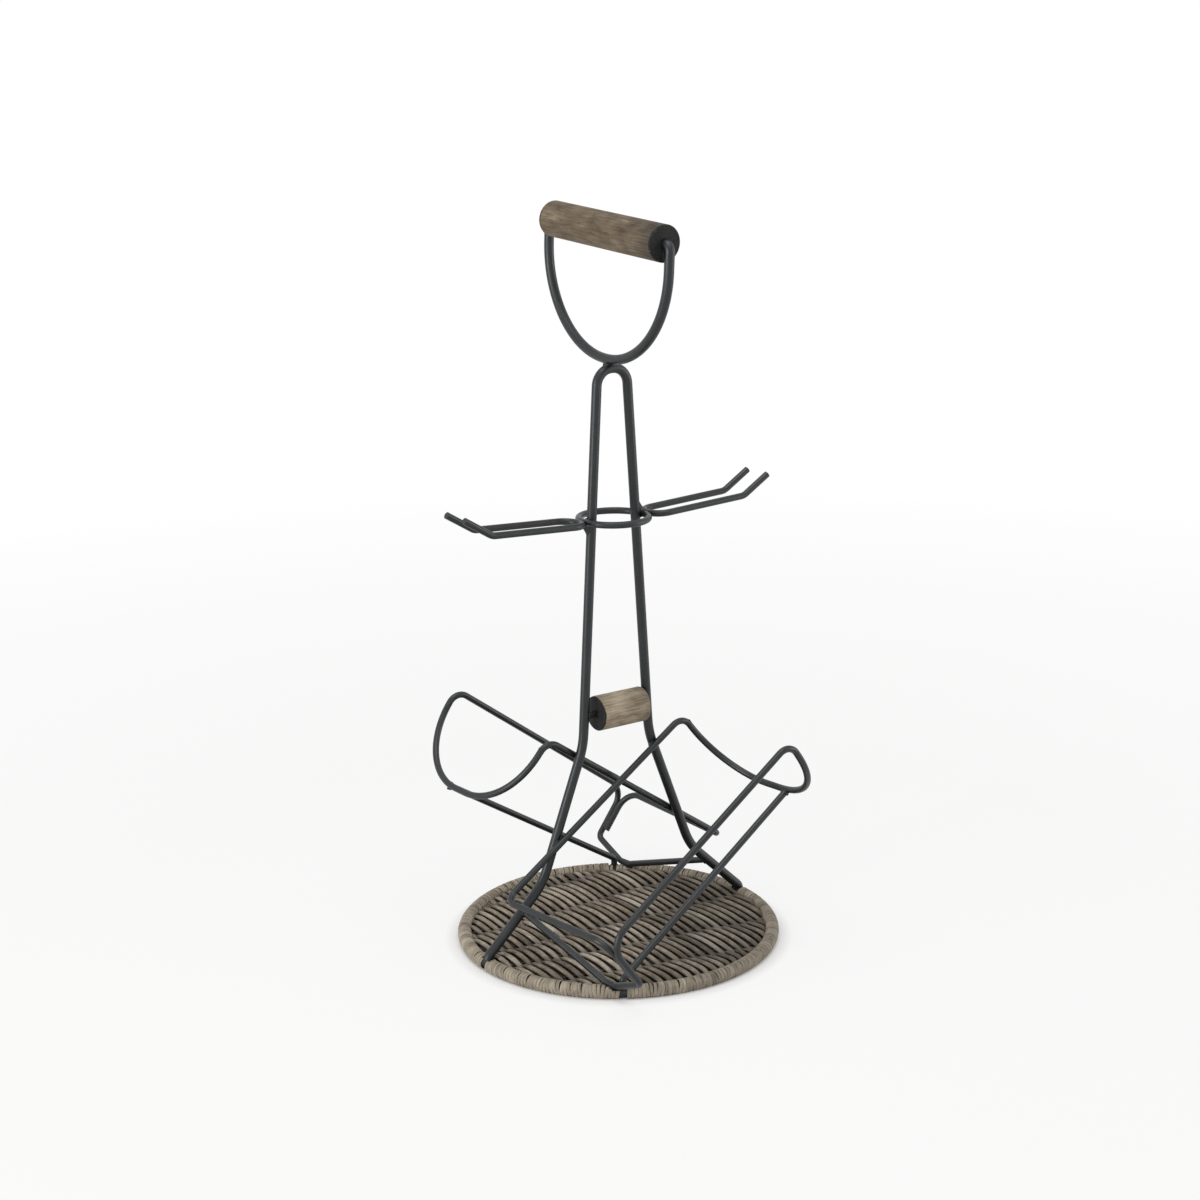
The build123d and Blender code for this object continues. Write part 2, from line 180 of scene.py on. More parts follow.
def weathered_wood(name, stops, middle, laid, half_length, stain, end_lightness):
    """Turned softwood, washed grey and left open: brown-grey fibres along its length,
    cloudy darker patches, small cracks, and end grain stained nearly black.
    laid is the rotation that lays the piece's axis along Z. stain is how far the
    stain bleeds in from an end. The wood is darker towards its end at -Z, down to a
    given share of its colour."""
    FIBRE, FIBRE_RUN = 0.75 * MM, 15 * MM  # real ones are finer: drawn coarse to show
    CLOUD, CLOUD_RUN = 6.5 * MM, 6.5 * MM / 0.55
    CRACK, CRACK_RUN = 2.2 * MM, 26 * MM
    FIBRE_SHARE, CLOUD_SHARE = 0.46, 0.54
    CRACK_EDGE, CRACK_SHADE, CRACK_DEPTH = 0.06, 0.72, 0.8
    END_DARK_FROM, END_DARK_TO = 0.40, 0.98  # shares of the half length
    STAIN_FADES, STAIN_FULL = 0.10, 0.32  # shares of the stain, past the half length
    finish, tree, shader = new_finish(name)
    where = add(tree, "ShaderNodeTexCoord").outputs["Object"]
    moved = add(
        tree, "ShaderNodeVectorMath", {0: where, 1: tuple(-middle)}, operation="ADD"
    ).outputs["Vector"]
    lying = add(
        tree, "ShaderNodeMapping", {"Vector": moved, "Rotation": laid}, vector_type="POINT"
    ).outputs["Vector"]
    fibre_place, cloud_place, crack_place = (
        add(
            tree,
            "ShaderNodeMapping",
            {"Vector": lying, "Scale": (1 / across, 1 / across, 1 / run)},
        ).outputs["Vector"]
        for across, run in ((FIBRE, FIBRE_RUN), (CLOUD, CLOUD_RUN), (CRACK, CRACK_RUN))
    )
    fibre = add(
        tree, "ShaderNodeTexNoise", {"Vector": fibre_place, "Scale": 1.0, "Detail": 4.0}
    ).outputs["Fac"]
    cloud = add(
        tree, "ShaderNodeTexNoise", {"Vector": cloud_place, "Scale": 1.0, "Detail": 6.0}
    ).outputs["Fac"]
    crack = add(
        tree,
        "ShaderNodeTexVoronoi",
        {"Vector": crack_place, "Scale": 1.0},
        feature="DISTANCE_TO_EDGE",
    ).outputs["Distance"]
    grain = add(
        tree, "ShaderNodeMath", {0: fibre, 1: FIBRE_SHARE}, operation="MULTIPLY"
    ).outputs[0]
    mixed = add(
        tree, "ShaderNodeMath", {0: cloud, 1: CLOUD_SHARE, 2: grain}, operation="MULTIPLY_ADD"
    ).outputs[0]
    timber = add(tree, "ShaderNodeValToRGB", {"Fac": mixed}, stops).outputs["Color"]
    split = add(
        tree,
        "ShaderNodeMapRange",
        {
            "Value": crack,
            "From Min": 0.0,
            "From Max": CRACK_EDGE,
            "To Min": CRACK_SHADE,
            "To Max": 1.0,
        },
    ).outputs["Result"]
    lengthwise = add(tree, "ShaderNodeSeparateXYZ", {"Vector": lying}).outputs["Z"]
    # darker towards the end at -Z
    end_darkening = add(
        tree,
        "ShaderNodeMapRange",
        {
            "Value": lengthwise,
            "From Min": -half_length * END_DARK_TO,
            "From Max": -half_length * END_DARK_FROM,
            "To Min": end_lightness,
            "To Max": 1.0,
        },
        interpolation_type="SMOOTHSTEP",
    ).outputs["Result"]
    shade = add(
        tree, "ShaderNodeMath", {0: split, 1: end_darkening}, operation="MULTIPLY"
    ).outputs[0]
    cracked = add(
        tree, "ShaderNodeVectorMath", {0: timber, "Scale": shade}, operation="SCALE"
    ).outputs["Vector"]
    # the stain on the ends bleeds a little way along, with a ragged edge
    from_middle = add(
        tree, "ShaderNodeMath", {0: lengthwise}, operation="ABSOLUTE"
    ).outputs[0]
    ragged = add(
        tree, "ShaderNodeMath", {0: cloud, 1: stain, 2: from_middle}, operation="MULTIPLY_ADD"
    ).outputs[0]
    ends = add(
        tree,
        "ShaderNodeMapRange",
        {
            "Value": ragged,
            "From Min": half_length + stain * STAIN_FADES,
            "From Max": half_length + stain * STAIN_FULL,
        },
    ).outputs["Result"]
    end_grain = add(
        tree,
        "ShaderNodeValToRGB",
        {"Fac": fibre},
        [(0.40, "#030303"), (0.58, "#0b0a0a"), (0.74, "#3a3733")],
    ).outputs["Color"]
    colour = add(
        tree, "ShaderNodeMix", {"Factor": ends, 6: cracked, 7: end_grain}, data_type="RGBA"
    ).outputs[2]
    rough = add(
        tree,
        "ShaderNodeMapRange",
        {"Value": mixed, "From Min": 0.35, "From Max": 0.65, "To Min": 0.86, "To Max": 0.66},
    ).outputs["Result"]
    height = add(
        tree, "ShaderNodeMath", {0: split, 1: CRACK_DEPTH, 2: fibre}, operation="MULTIPLY_ADD"
    ).outputs[0]
    bump = add(
        tree, "ShaderNodeBump", {"Height": height, "Strength": 0.6, "Distance": 0.22 * MM}
    ).outputs["Normal"]
    lay_on(tree, shader, colour, rough, bump, ior=1.45)
    return finish


def washed_rattan(name, stops, painted_shade_from, painted_shade_to, painted_shade_darkest, rightmost_lightness):
    """Rattan core, washed grey-brown: fine fibres run along each strip, and no two strips
    have the same tone. Below the higher of its two given heights it is darkened as
    painted shade, most in the hollows between strips. Each point's mark holds its way
    along the strip, its way round it, and its tone. It is darker towards the right,
    down to a given share of its lightness."""
    FIBRE, FIBRE_RUN = 0.55 * MM, 9 * MM  # drawn coarse enough to show
    BLOTCH = 5 * MM
    FIBRE_SHARE, BLOTCH_SHARE = 0.45, 0.40
    TONE_APART = 40  # strips of different tones have different fibres
    DARKER_SIDE = (0.82, -0.57, 0)  # to the right, and a little to the front
    DARKER_FROM, DARKER_TO = -5 * MM, 45 * MM
    finish, tree, shader = new_finish(name)
    mark = add(tree, "ShaderNodeAttribute", attribute_name="strip_mark").outputs["Vector"]
    where = add(tree, "ShaderNodeTexCoord").outputs["Object"]
    fibre_place = add(
        tree,
        "ShaderNodeMapping",
        {"Vector": mark, "Scale": (1 / FIBRE_RUN, 1 / FIBRE, TONE_APART)},
    ).outputs["Vector"]
    fibre = add(
        tree, "ShaderNodeTexNoise", {"Vector": fibre_place, "Scale": 1.0, "Detail": 3.0}
    ).outputs["Fac"]
    blotch = add(
        tree, "ShaderNodeTexNoise", {"Vector": where, "Scale": 1 / BLOTCH, "Detail": 4.0}
    ).outputs["Fac"]
    tone = add(tree, "ShaderNodeSeparateXYZ", {"Vector": mark}).outputs["Z"]
    striped = add(
        tree, "ShaderNodeMath", {0: fibre, 1: FIBRE_SHARE, 2: tone}, operation="MULTIPLY_ADD"
    ).outputs[0]
    mixed = add(
        tree, "ShaderNodeMath", {0: blotch, 1: BLOTCH_SHARE, 2: striped}, operation="MULTIPLY_ADD"
    ).outputs[0]
    washed = add(tree, "ShaderNodeValToRGB", {"Fac": mixed}, stops).outputs["Color"]
    # painted shade: darker lower down, most in the hollows between strips and at the rim's
    # underside
    level = add(tree, "ShaderNodeSeparateXYZ", {"Vector": where}).outputs["Z"]
    painted_shade = add(
        tree,
        "ShaderNodeMapRange",
        {
            "Value": level,
            "From Min": painted_shade_from,
            "From Max": painted_shade_to,
            "To Min": painted_shade_darkest,
            "To Max": 1.0,
        },
    ).outputs["Result"]
    # darker towards the right of the base, down to a given share of its lightness
    rightward = add(
        tree, "ShaderNodeVectorMath", {0: where, 1: DARKER_SIDE}, operation="DOT_PRODUCT"
    ).outputs["Value"]
    right_darkening = add(
        tree,
        "ShaderNodeMapRange",
        {
            "Value": rightward,
            "From Min": DARKER_FROM,
            "From Max": DARKER_TO,
            "To Min": 1.0,
            "To Max": rightmost_lightness,
        },
        interpolation_type="SMOOTHSTEP",
    ).outputs["Result"]
    shade = add(tree, "ShaderNodeMath", {0: painted_shade, 1: right_darkening}, operation="MULTIPLY").outputs[0]
    colour = add(
        tree, "ShaderNodeVectorMath", {0: washed, "Scale": shade}, operation="SCALE"
    ).outputs["Vector"]
    bump = add(
        tree, "ShaderNodeBump", {"Height": fibre, "Strength": 0.7, "Distance": 0.16 * MM}
    ).outputs["Normal"]
    rough = add(
        tree,
        "ShaderNodeMapRange",
        {"Value": fibre, "From Min": 0.3, "From Max": 0.7, "To Min": 0.82, "To Max": 0.62},
    ).outputs["Result"]
    lay_on(tree, shader, colour, rough, bump, ior=1.45)
    return finish


# Piece making
class Skin:
    """Points and faces of one piece, with a mark on each point for the finish: its way
    along the strip, its way round it, and the strip's tone."""

    def __init__(self):
        self.points, self.faces, self.marks = [], [], []

    def sweep(self, rings, marks, looped=False):
        """Joins rings of points, each ring closed. The ends are capped, or joined if looped."""
        start, count = len(self.points), len(rings[0])
        for ring, ring_marks in zip(rings, marks):
            self.points += ring
            self.marks += ring_marks
        for i in range(len(rings) if looped else len(rings) - 1):
            here, there = start + i * count, start + (i + 1) % len(rings) * count
            for k in range(count):
                after = (k + 1) % count
                self.faces.append((here + k, here + after, there + after, there + k))
        if not looped:
            last = start + (len(rings) - 1) * count
            self.faces.append(tuple(start + k for k in range(count)))
            self.faces.append(tuple(last + k for k in range(count)))

    def piece(self, name, finish, body, slot, replaced=()):
        """The mesh object, riding on its body."""
        mesh = bpy.data.meshes.new(name)
        mesh.from_pydata([tuple(p) for p in self.points], [], self.faces)
        mark = mesh.attributes.new("strip_mark", "FLOAT_VECTOR", "POINT")
        mark.data.foreach_set("vector", [c for m in self.marks for c in m])
        work = bmesh.new()
        work.from_mesh(mesh)
        bmesh.ops.recalc_face_normals(work, faces=work.faces)
        work.to_mesh(mesh)
        work.free()
        mesh.shade_smooth()
        mesh.materials.append(finish)
        made = bpy.data.objects.new(name, mesh)
        bpy.context.scene.collection.objects.link(made)
        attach(made, body)
        if replaced:
            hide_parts(*replaced)
        return made


# Places of the rods
rim_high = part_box("rim_wrap")[1]
BASE_R = rim_high.x
RIM_R = 4.0 * MM
HOOP_R = BASE_R - RIM_R
HOOP_Z = rim_high.z - RIM_R
ROD_R = 2.75 * MM  # upright, bow and hoop
WIRE_R = 1.9 * MM  # all the thinner steel
HOOP_TOP = HOOP_Z + ROD_R
SINK = 0.05 * MM  # rods that cross are pressed this deep into each other
# The upright's middle line: a leg at the top, the apex, and the bends going down.
LEG_X_TOP, APEX_Z = 9.7 * MM, 331 * MM
KNEE = Vector((22.8, 0, 118.8)) * MM
HOCK = Vector((52.2, 0, 42.4)) * MM
ANKLE_Z = 7.5 * MM
RING_Z = 247.5 * MM
DOWEL_Z = 136.2 * MM
# Where the front heel bar crosses the rim, how long it is level there, and where it
# ends on the leg, as a share of the way from the hock to the ankle.
RIM_CROSS = math.radians(232)
LEVEL_HALF = 4 * MM
BAR_SHARE = 0.365
BRACE_FOOT = math.radians(236.3)
BRACE_BEND = 10.9 * MM  # its bend is this far over the floor
# The front cradle. Its places are in millimetres up along the rails (S), outwards (Y),
# and off the slope (H). The saddle is given under the inner and the outer rail.
CRADLE = Vector((53.7, 0, 124.4)) * MM
TILT = math.radians(35.9)
INNER_Y, OUTER_Y = 4.6, 97.6  # the two rails
RAIL_TOP, RAIL_LOW = (-7.2, INNER_Y, 6.3), (-157.3, INNER_Y, 10.2)
DROP_S, DROP_WELD_H, HEEL_H = -150.2, -13, -23.5
SADDLE_IN_S, SADDLE_IN_H = -7.2, -39.8
SADDLE_OUT_S, SADDLE_OUT_H = -0.8, -42.0
BRACE_S, BRACE_Y = -4.0, 61.8
BRACE_SHARE = (BRACE_Y - INNER_Y) / (OUTER_Y - INNER_Y)
BRACE_H = SADDLE_IN_H + BRACE_SHARE * (SADDLE_OUT_H - SADDLE_IN_H)


def leg_x(z):
    """Middle of the upper leg at a height."""
    return LEG_X_TOP + (KNEE.x - LEG_X_TOP) / (APEX_Z - KNEE.z) * (APEX_Z - z)


def on_cradle(s, y, h):
    """A point of the front cradle: up along the rails, outwards, and off the slope."""
    s, y, h = s * MM, y * MM, h * MM
    return CRADLE + Vector(
        (s * math.cos(TILT) - h * math.sin(TILT), -y, s * math.sin(TILT) + h * math.cos(TILT))
    )


def on_hoop(angle):
    """A place round the hoop, at the level of the floor."""
    return Vector((math.cos(angle), math.sin(angle), 0)) * HOOP_R


def along_hoop(angle):
    """The way that the hoop runs there."""
    return Vector((-math.sin(angle), math.cos(angle), 0))


def turned(vector, half):
    """The same place on the rear side, half a turn round Z, where half is true."""
    return Vector((-vector.x, -vector.y, vector.z)) if half else vector


# the foot of the upright
ankle = Vector((HOOP_R, 0, ANKLE_Z))
foot_end = Vector((HOOP_R, 0, HOOP_Z))
# the heel bar: its low corner, its level stretch over the hoop, its end on the leg
heel_corner = on_cradle(DROP_S, OUTER_Y, HEEL_H)
rim_cross = on_hoop(RIM_CROSS)
heel_end = Vector((-(HOCK.x + BAR_SHARE * (HOOP_R - HOCK.x)), 0, 0))
heel_end.z = HOCK.z + BAR_SHARE * (ankle.z - HOCK.z)
level_run = Vector((heel_end.x - rim_cross.x, -rim_cross.y, 0)).normalized()
level_middle = rim_cross + Z * (HOOP_TOP + WIRE_R - SINK)
level_start = level_middle - level_run * LEVEL_HALF
level_end = level_middle + level_run * LEVEL_HALF
# the brace: its foot on the hoop, its bend and its end under the saddle
brace_foot = on_hoop(BRACE_FOOT)
brace_bend = brace_foot + Z * BRACE_BEND
brace_top = on_cradle(BRACE_S, BRACE_Y, BRACE_H)

rods_at_rim, feet_at_rim = [], []
for half in (False, True):
    feet_at_rim.append((turned(ankle, half), ROD_R))
    feet_at_rim.append((turned(brace_bend, half), WIRE_R))
    for start, end, radius in (
        (foot_end, ankle, ROD_R),
        (ankle, HOCK, ROD_R),
        (heel_corner, level_start, WIRE_R),
        (level_start, level_end, WIRE_R),
        (level_end, heel_end, WIRE_R),
        (brace_foot, brace_bend, WIRE_R),
        (brace_bend, brace_top, WIRE_R),
    ):
        rods_at_rim.append((turned(start, half), turned(end, half), radius))

# Woven mat
MAT_R = HOOP_R - ROD_R - 0.3 * MM  # the ends are tucked under the wrapping
WEAVE_Z = 3.6 * MM  # middle of the weave
WEAVE_RISE = 2.05 * MM  # from there to the middle of a strand as it passes a stake
WEAVE_FULLNESS = 0.72  # under 1 it keeps a strand high over most of a stake's width
WEAVE_EASE = 6 * MM  # over this way from the rim a strand comes up from the middle
STRAND_PITCH = 2.75 * MM
STRAND_HALF_W = 1.38 * MM
STRAND_HALF_T = 1.12 * MM
STRAND_SWELL = 0.18  # a strand is pressed flat in the crossings, and full on a stake
STRAND_STEP, STRAND_LEAST = 1.5 * MM, 6  # and the fewest steps of a short strand
SLOPE_STEP = 0.5 * MM
STRAND_SIDES = 10
# How strands differ by hand: their place, height and where they dive in millimetres,
# width and thickness as shares, and a slow sway along each.
STRAND_ASIDE = 0.08
STRAND_LIFTS = (-0.30, 0.22)
STRAND_DRIFT = 1.3
STRAND_WIDTHS, STRAND_DEPTHS = (0.96, 1.07), (0.92, 1.04)
STRAND_TONE, REED_TONE = 0.08, 0.06
SWAY, SWAY_RUN = 0.45 * MM, 17 * MM
SWAY_NEXT, SWAY_ASIDE = 0.23, 0.2  # radians on from strand to strand, and off that
# Each stake is a flat bundle of reeds laid side by side. They are as wide as this in
# a stake of the plain width, and narrower in a narrower one.
STAKE_REEDS = 7
REED_HALF_W = 1.7 * MM
REED_HALF_T = 0.55 * MM
REED_PITCH = 1.96 * REED_HALF_W
STAKE_PLAIN_W = 33 * MM
STAKE_STEPS = 40
STAKE_SHORT = 1.5 * MM  # a stake ends this far inside the mat's edge
# Marks lie this far apart from one strip to the next, so that their fibres differ.
STRAND_APART, REED_APART, STRIP_APART = 7 * MM, 9 * MM, 5 * MM
# Where the strands cross between two stakes: the place on Y at the middle of the
# mat, and its slope along X. The stakes fan out a little to the right.
DIVES = (
    (-127 * MM, -0.25),
    (-94 * MM, -0.25),
    (-62 * MM, -0.24),
    (-29.7 * MM, -0.20),
    (1.2 * MM, -0.08),
    (37 * MM, 0.02),
    (71 * MM, 0.05),
    (106 * MM, 0.05),
)


def dive_y(k, x):
    """Place of the crossing line k at a place along X."""
    return DIVES[k][0] + DIVES[k][1] * x


def weave_height(x, y, side):
    """Height of a strand over the mat's middle level; side is 1 or -1."""
    for k in range(len(DIVES) - 1):
        low, high = dive_y(k, x), dive_y(k + 1, x)
        if low <= y <= high:
            share = math.sin(math.pi * (y - low) / (high - low))
            return side * (1 if k % 2 else -1) * WEAVE_RISE * share**WEAVE_FULLNESS
    return 0.0


def strand_z(x, y, side):
    """Height of a strand's middle, which comes back to the middle level at the rim."""
    left = math.sqrt(max(0.0, MAT_R**2 - x**2)) - abs(y)
    ease = min(1.0, max(0.0, left / WEAVE_EASE))
    return WEAVE_Z + weave_height(x, y, side) * ease * (2 - ease)


def within_mat(point):
    """The point itself, or the nearest one on the mat's edge where it is outside."""
    beyond = math.hypot(point.x, point.y) / MAT_R
    if beyond > 1:
        point.x, point.y = point.x / beyond, point.y / beyond
    return point


def round_ring(sides):
    """Angles round a ring."""
    return [2 * math.pi * k / sides for k in range(sides)]


strands = Skin()
hand = random.Random(41)  # one maker's hand, for the mat and the rim
strand_count = round(MAT_R / STRAND_PITCH)
for i in range(-strand_count, strand_count + 1):
    x0 = i * STRAND_PITCH + hand.uniform(-STRAND_ASIDE, STRAND_ASIDE) * MM
    side = -1 if i % 2 else 1
    tone = hand.gauss(0, STRAND_TONE)
    wide = STRAND_HALF_W * hand.uniform(*STRAND_WIDTHS)
    half_y = math.sqrt(MAT_R**2 - (abs(x0) - wide) ** 2)
    thick = STRAND_HALF_T * hand.uniform(*STRAND_DEPTHS)
    sway_at = i * SWAY_NEXT + hand.uniform(-SWAY_ASIDE, SWAY_ASIDE)
    lift = hand.uniform(*STRAND_LIFTS) * MM
    drift = hand.uniform(-STRAND_DRIFT, STRAND_DRIFT) * MM
    steps = max(STRAND_LEAST, int(2 * half_y / STRAND_STEP))
    rings, marks = [], []
    for n in range(steps + 1):
        y = -half_y + 2 * half_y * n / steps
        x = x0 + SWAY * math.sin(y / SWAY_RUN + sway_at)
        up, down = (strand_z(x0, y + drift + way, side) for way in (SLOPE_STEP, -SLOPE_STEP))
        normal = Vector((0, -(up - down) / (2 * SLOPE_STEP), 1)).normalized()
        level = strand_z(x0, y + drift, side)
        plump = wide * (1 + STRAND_SWELL * max(0.0, (level - WEAVE_Z) / WEAVE_RISE))
        middle = Vector((x, y, level + lift))
        ring, ring_marks = [], []
        for a in round_ring(STRAND_SIDES):
            point = middle + X * plump * math.cos(a) + normal * thick * math.sin(a)
            ring.append(within_mat(point))
            ring_marks.append((y, wide * math.cos(a) + i * STRAND_APART, tone))
        rings.append(ring)
        marks.append(ring_marks)
    strands.sweep(rings, marks)

stakes = Skin()
for k in range(len(DIVES) - 1):
    for reed in range(STAKE_REEDS):
        offset = (reed - (STAKE_REEDS - 1) / 2) * REED_PITCH
        tone = hand.gauss(0, REED_TONE)
        rings, marks = [], []
        for n in range(STAKE_STEPS + 1):
            x = MAT_R * (-1 + 2 * n / STAKE_STEPS)
            narrow = (dive_y(k + 1, x) - dive_y(k, x)) / STAKE_PLAIN_W
            y = (dive_y(k, x) + dive_y(k + 1, x)) / 2 + offset * narrow
            if math.hypot(x, y) > MAT_R - STAKE_SHORT:
                continue
            ring, ring_marks = [], []
            for a in round_ring(STRAND_SIDES):
                across = REED_HALF_W * narrow * math.cos(a)
                ring.append(Vector((x, y + across, WEAVE_Z + REED_HALF_T * math.sin(a))))
                ring_marks.append((x, across + (k * STAKE_REEDS + reed) * REED_APART, tone))
            rings.append(ring)
            marks.append(ring_marks)
        if len(rings) > 2:
            stakes.sweep(rings, marks)

# Wrapped rim
STRIP_W = 2.0 * MM  # along the hoop, at its middle
STRIP_T = 0.7 * MM
STRIP_FALL = 0.54 * MM  # from a strip's crown to its side, for a depth of 1
STRIP_RINGS, STRIP_LEAST = 24, 4  # in a whole turn, and in the shortest part of one
STRIP_CLEAR = 0.8 * MM  # from the middle of a strip to the side of a rod
FLOOR_CLEAR, SIDE_LIFT = 0.03 * MM, 0.1 * MM  # where the underside is worn flat
# Across a strip, from -1 to 1, and the depth there. A depth of 1 is the inner side.
STRIP_SECTION = (
    (-1.0, 0.30),
    (-0.75, 0.08),
    (-0.3, 0.0),
    (0.3, 0.0),
    (0.75, 0.08),
    (1.0, 0.30),
    (0.9, 1.0),
    (-0.9, 1.0),
)
# How strips differ by hand. Each leans about as far as the one before, and a few are
# narrow. LEAN_ASIDE and STRIP_LIFTS are in millimetres.
LEAN_KEPT, LEAN_ASIDE, LEAN_MOST = 0.8, 0.5, 1.2 * MM
STRIP_WIDTHS, STRIP_NARROW, NARROW_CHANCE = (0.93, 1.0), 0.8, 0.06
STRIP_LIFTS, STRIP_TONE = (-0.10, 0.0), 0.05
DEGREES = 3  # between the places round a turn that are tried for a rod in the way
TURN_LEAST = 60  # a shorter part of a turn is left out
BARE_HALF = 0.85  # the hoop is bare under a foot, over this share of the foot's width
BARE_DEPTH = 9 * MM


def off_segment(point, start, end):
    """Distance from a point to a straight stretch of rod."""
    run = end - start
    share = max(0.0, min(1.0, (point - start).dot(run) / run.dot(run)))
    return (point - start - run * share).length


def on_rim(angle, section, reach):
    """A point round the rim's own section, with the underside worn flat."""
    out = HOOP_R + reach * math.cos(section)
    height = max(FLOOR_CLEAR, HOOP_Z + reach * math.sin(section))
    return Vector((out * math.cos(angle), out * math.sin(angle), height))


def under_foot(angle):
    """Whether a foot stands on the hoop at an angle."""
    return any(
        off_segment(on_rim(angle, 0, 0), top - Z * BARE_DEPTH, top) < radius * BARE_HALF
        for top, radius in feet_at_rim
    )


def open_turn(angle):
    """The part of a turn round the rim, in degrees, that no rod is in the way of."""
    free = []
    for degree in range(0, 360, DEGREES):
        point = on_rim(angle, math.radians(degree), RIM_R)
        free.append(
            all(
                off_segment(point, start, end) > radius + STRIP_CLEAR
                for start, end, radius in rods_at_rim
            )
        )
    if all(free):
        return 0, 360
    best, run, first = (0, 0), 0, 0
    for n in range(2 * len(free)):
        if free[n % len(free)]:
            run += 1
            if run == 1:
                first = n
            if run > best[1] and run <= len(free):
                best = (first, run)
        else:
            run = 0
    return best[0] * DEGREES, (best[0] + best[1] - 1) * DEGREES


rim_strips = Skin()
strip_count = round(2 * math.pi * HOOP_R / STRIP_W)
strip_angle = 2 * math.pi / strip_count
lean = 0.0
for i in range(strip_count):
    at = i * strip_angle
    lean = LEAN_KEPT * lean + hand.gauss(0, LEAN_ASIDE) * MM
    lean = max(-LEAN_MOST, min(LEAN_MOST, lean))
    tone = hand.gauss(0, STRIP_TONE)
    width = strip_angle * hand.uniform(*STRIP_WIDTHS)
    if hand.random() < NARROW_CHANCE:
        width *= STRIP_NARROW
    lift = hand.uniform(*STRIP_LIFTS) * MM
    turn_from, turn_to = open_turn(at)
    if under_foot(at) or turn_to - turn_from < TURN_LEAST:
        continue
    looped = turn_to - turn_from == 360
    count = max(STRIP_LEAST, round(STRIP_RINGS * (turn_to - turn_from) / 360))
    rings, marks = [], []
    for n in range(count if looped else count + 1):
        section = math.radians(turn_from + (turn_to - turn_from) * n / count)
        drift = lean * math.sin(section) / HOOP_R
        ring, ring_marks = [], []
        for share, depth in STRIP_SECTION:
            reach = RIM_R + lift - (STRIP_T if depth == 1.0 else depth * STRIP_FALL)
            point = on_rim(at + share * width / 2 + drift, section, reach)
            point.z = max(point.z, FLOOR_CLEAR + SIDE_LIFT * depth)
            ring.append(point)
            ring_marks.append((section * RIM_R, share * STRIP_W / 2 + i * STRIP_APART, tone))
        rings.append(ring)
        marks.append(ring_marks)
    rim_strips.sweep(rings, marks, looped)

# Weld beads
RIPPLE, RIPPLE_SHARE = 1.3 * MM, 0.14
BEAD_SIDES = 10
BEAD_TAPER = 0.06  # how much of the round end of a bead is left out
BEAD_LEAST, BEAD_BLUNT = 0.25, 0.6  # how thin it ends, and how bluntly
# the radius of each kind of bead
APEX_BEAD, CROSS_BEAD, SIDE_BEAD = 1.15 * MM, 0.8 * MM, 0.75 * MM
BAR_BEAD, END_BEAD = 0.65 * MM, 0.6 * MM


def ripple_tube(skin, path, thick, looped=False):
    """A weld bead along a path: a thin tube that swells with each step of the torch."""
    travelled = 0.0
    rings, marks = [], []
    count = len(path)
    for n, point in enumerate(path):
        if looped:
            ahead = path[(n + 1) % count] - path[n - 1]
        else:
            ahead = path[min(n + 1, count - 1)] - path[max(n - 1, 0)]
        ahead.normalize()
        if n:
            travelled += (path[n] - path[n - 1]).length
        across = ahead.orthogonal().normalized()
        other = ahead.cross(across)
        swell = 1 + RIPPLE_SHARE * math.sin(2 * math.pi * travelled / RIPPLE)
        if not looped:
            share = BEAD_TAPER + (1 - 2 * BEAD_TAPER) * n / (count - 1)
            swell *= max(BEAD_LEAST, math.sin(math.pi * share)) ** BEAD_BLUNT
        rings.append(
            [
                point + (across * math.cos(a) + other * math.sin(a)) * thick * swell
                for a in round_ring(BEAD_SIDES)
            ]
        )
        marks.append([(travelled, 0.0, 0.0)] * BEAD_SIDES)
    skin.sweep(rings, marks, looped)


def end_bead(skin, meeting, along, rod_r, over_along, over_r, thick):
    """The bead round a rod's end that is shaped over another rod. Their middle lines
    meet at a point, along points to it, and over_along is the way of the other rod."""
    STEPS = 28
    RUN_UP = 8 * MM  # the bead's line is found from this far back along the rod
    CLEAR = 1.04  # times the rod's radius
    along, over_along = along.normalized(), over_along.normalized()
    first = along.orthogonal().normalized()
    second = along.cross(first)
    path = []
    for a in round_ring(STEPS):
        start = meeting - along * RUN_UP
        start += (first * math.cos(a) + second * math.sin(a)) * rod_r * CLEAR
        gap = start - meeting
        flat = gap - over_along * gap.dot(over_along)
        move = along - over_along * along.dot(over_along)
        qa, qb, qc = move.dot(move), 2 * flat.dot(move), flat.dot(flat) - over_r**2
        root = max(0.0, qb * qb - 4 * qa * qc)
        path.append(start + along * ((-qb - math.sqrt(root)) / (2 * qa)))
    ripple_tube(skin, path, thick, looped=True)


def crossing_beads(skin, contact, normal, run, run_r, over, over_r, thick):
    """Two beads beside a rod that lies across another. normal points from the rod
    along run to the rod along over."""
    HALF_STEPS = 4
    REACH = 0.75  # of the other rod's radius
    GROOVE = 0.74  # of the rod's own radius, to each side
    normal, run, over = normal.normalized(), run.normalized(), over.normalized()
    sideways = normal.cross(run).normalized()
    aside = run_r * GROOVE
    for hand_side in (1, -1):
        path = []
        for n in range(-HALF_STEPS, HALF_STEPS + 1):
            ahead = over_r * REACH * n / HALF_STEPS
            fall = (over_r - math.sqrt(over_r**2 - ahead**2)) / 2
            fall -= (run_r - math.sqrt(run_r**2 - aside**2)) / 2
            path.append(contact + sideways * hand_side * aside + run * ahead + normal * fall)
        ripple_tube(skin, path, thick)


def side_beads(skin, contact, run, sideways, rod_r, length, thick):
    """Two beads in the grooves where two rods lie side by side."""
    STEPS = 10
    GROOVE = 0.62  # of the rod's radius, to each side
    run, sideways = run.normalized(), sideways.normalized()
    for hand_side in (1, -1):
        path = [
            contact + sideways * hand_side * rod_r * GROOVE + run * length * (n / STEPS - 0.5)
            for n in range(STEPS + 1)
        ]
        ripple_tube(skin, path, thick)


